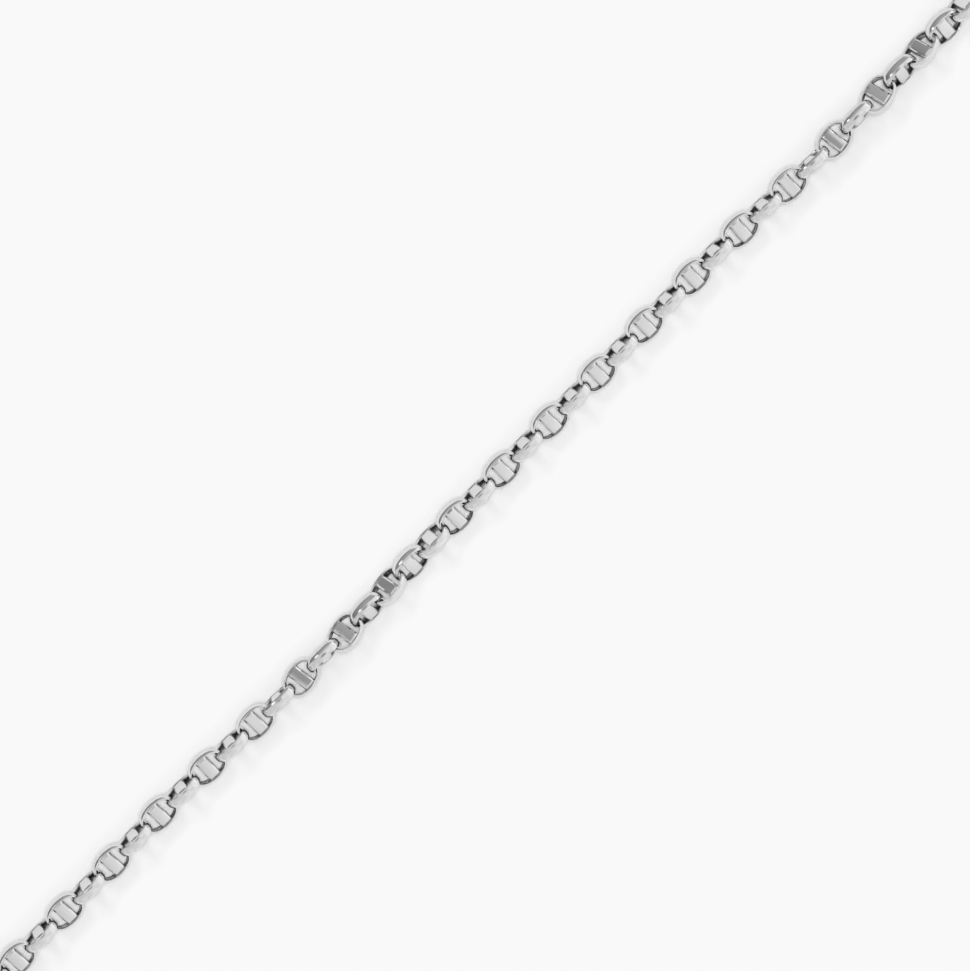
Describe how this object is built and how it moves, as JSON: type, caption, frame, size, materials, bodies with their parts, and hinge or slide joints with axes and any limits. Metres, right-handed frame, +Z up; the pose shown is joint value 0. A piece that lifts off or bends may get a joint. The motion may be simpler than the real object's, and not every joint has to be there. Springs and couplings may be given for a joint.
{
  "type": "mariner link chain necklace",
  "caption": "Polished silver mariner link chain, a closed necklace laid flat in a loop, each oval link crossed by a bar and interlocked with its neighbours.",
  "frame": {"origin": "middle of the laid loop, on the surface that it lies on", "axes": "+X along the straight front run, +Y from the front run towards the clasp, +Z up from the surface"},
  "size_m": [0.236, 0.1002, 0.0041],
  "materials": {
    "chain": "polished sterling silver with fine handling wear",
    "clasp": "polished sterling silver with fine handling wear"
  },
  "bodies": {
    "root": {"front_chain": "chain", "back_chain": "chain", "clasp": "clasp"}
  },
  "joints": []
}
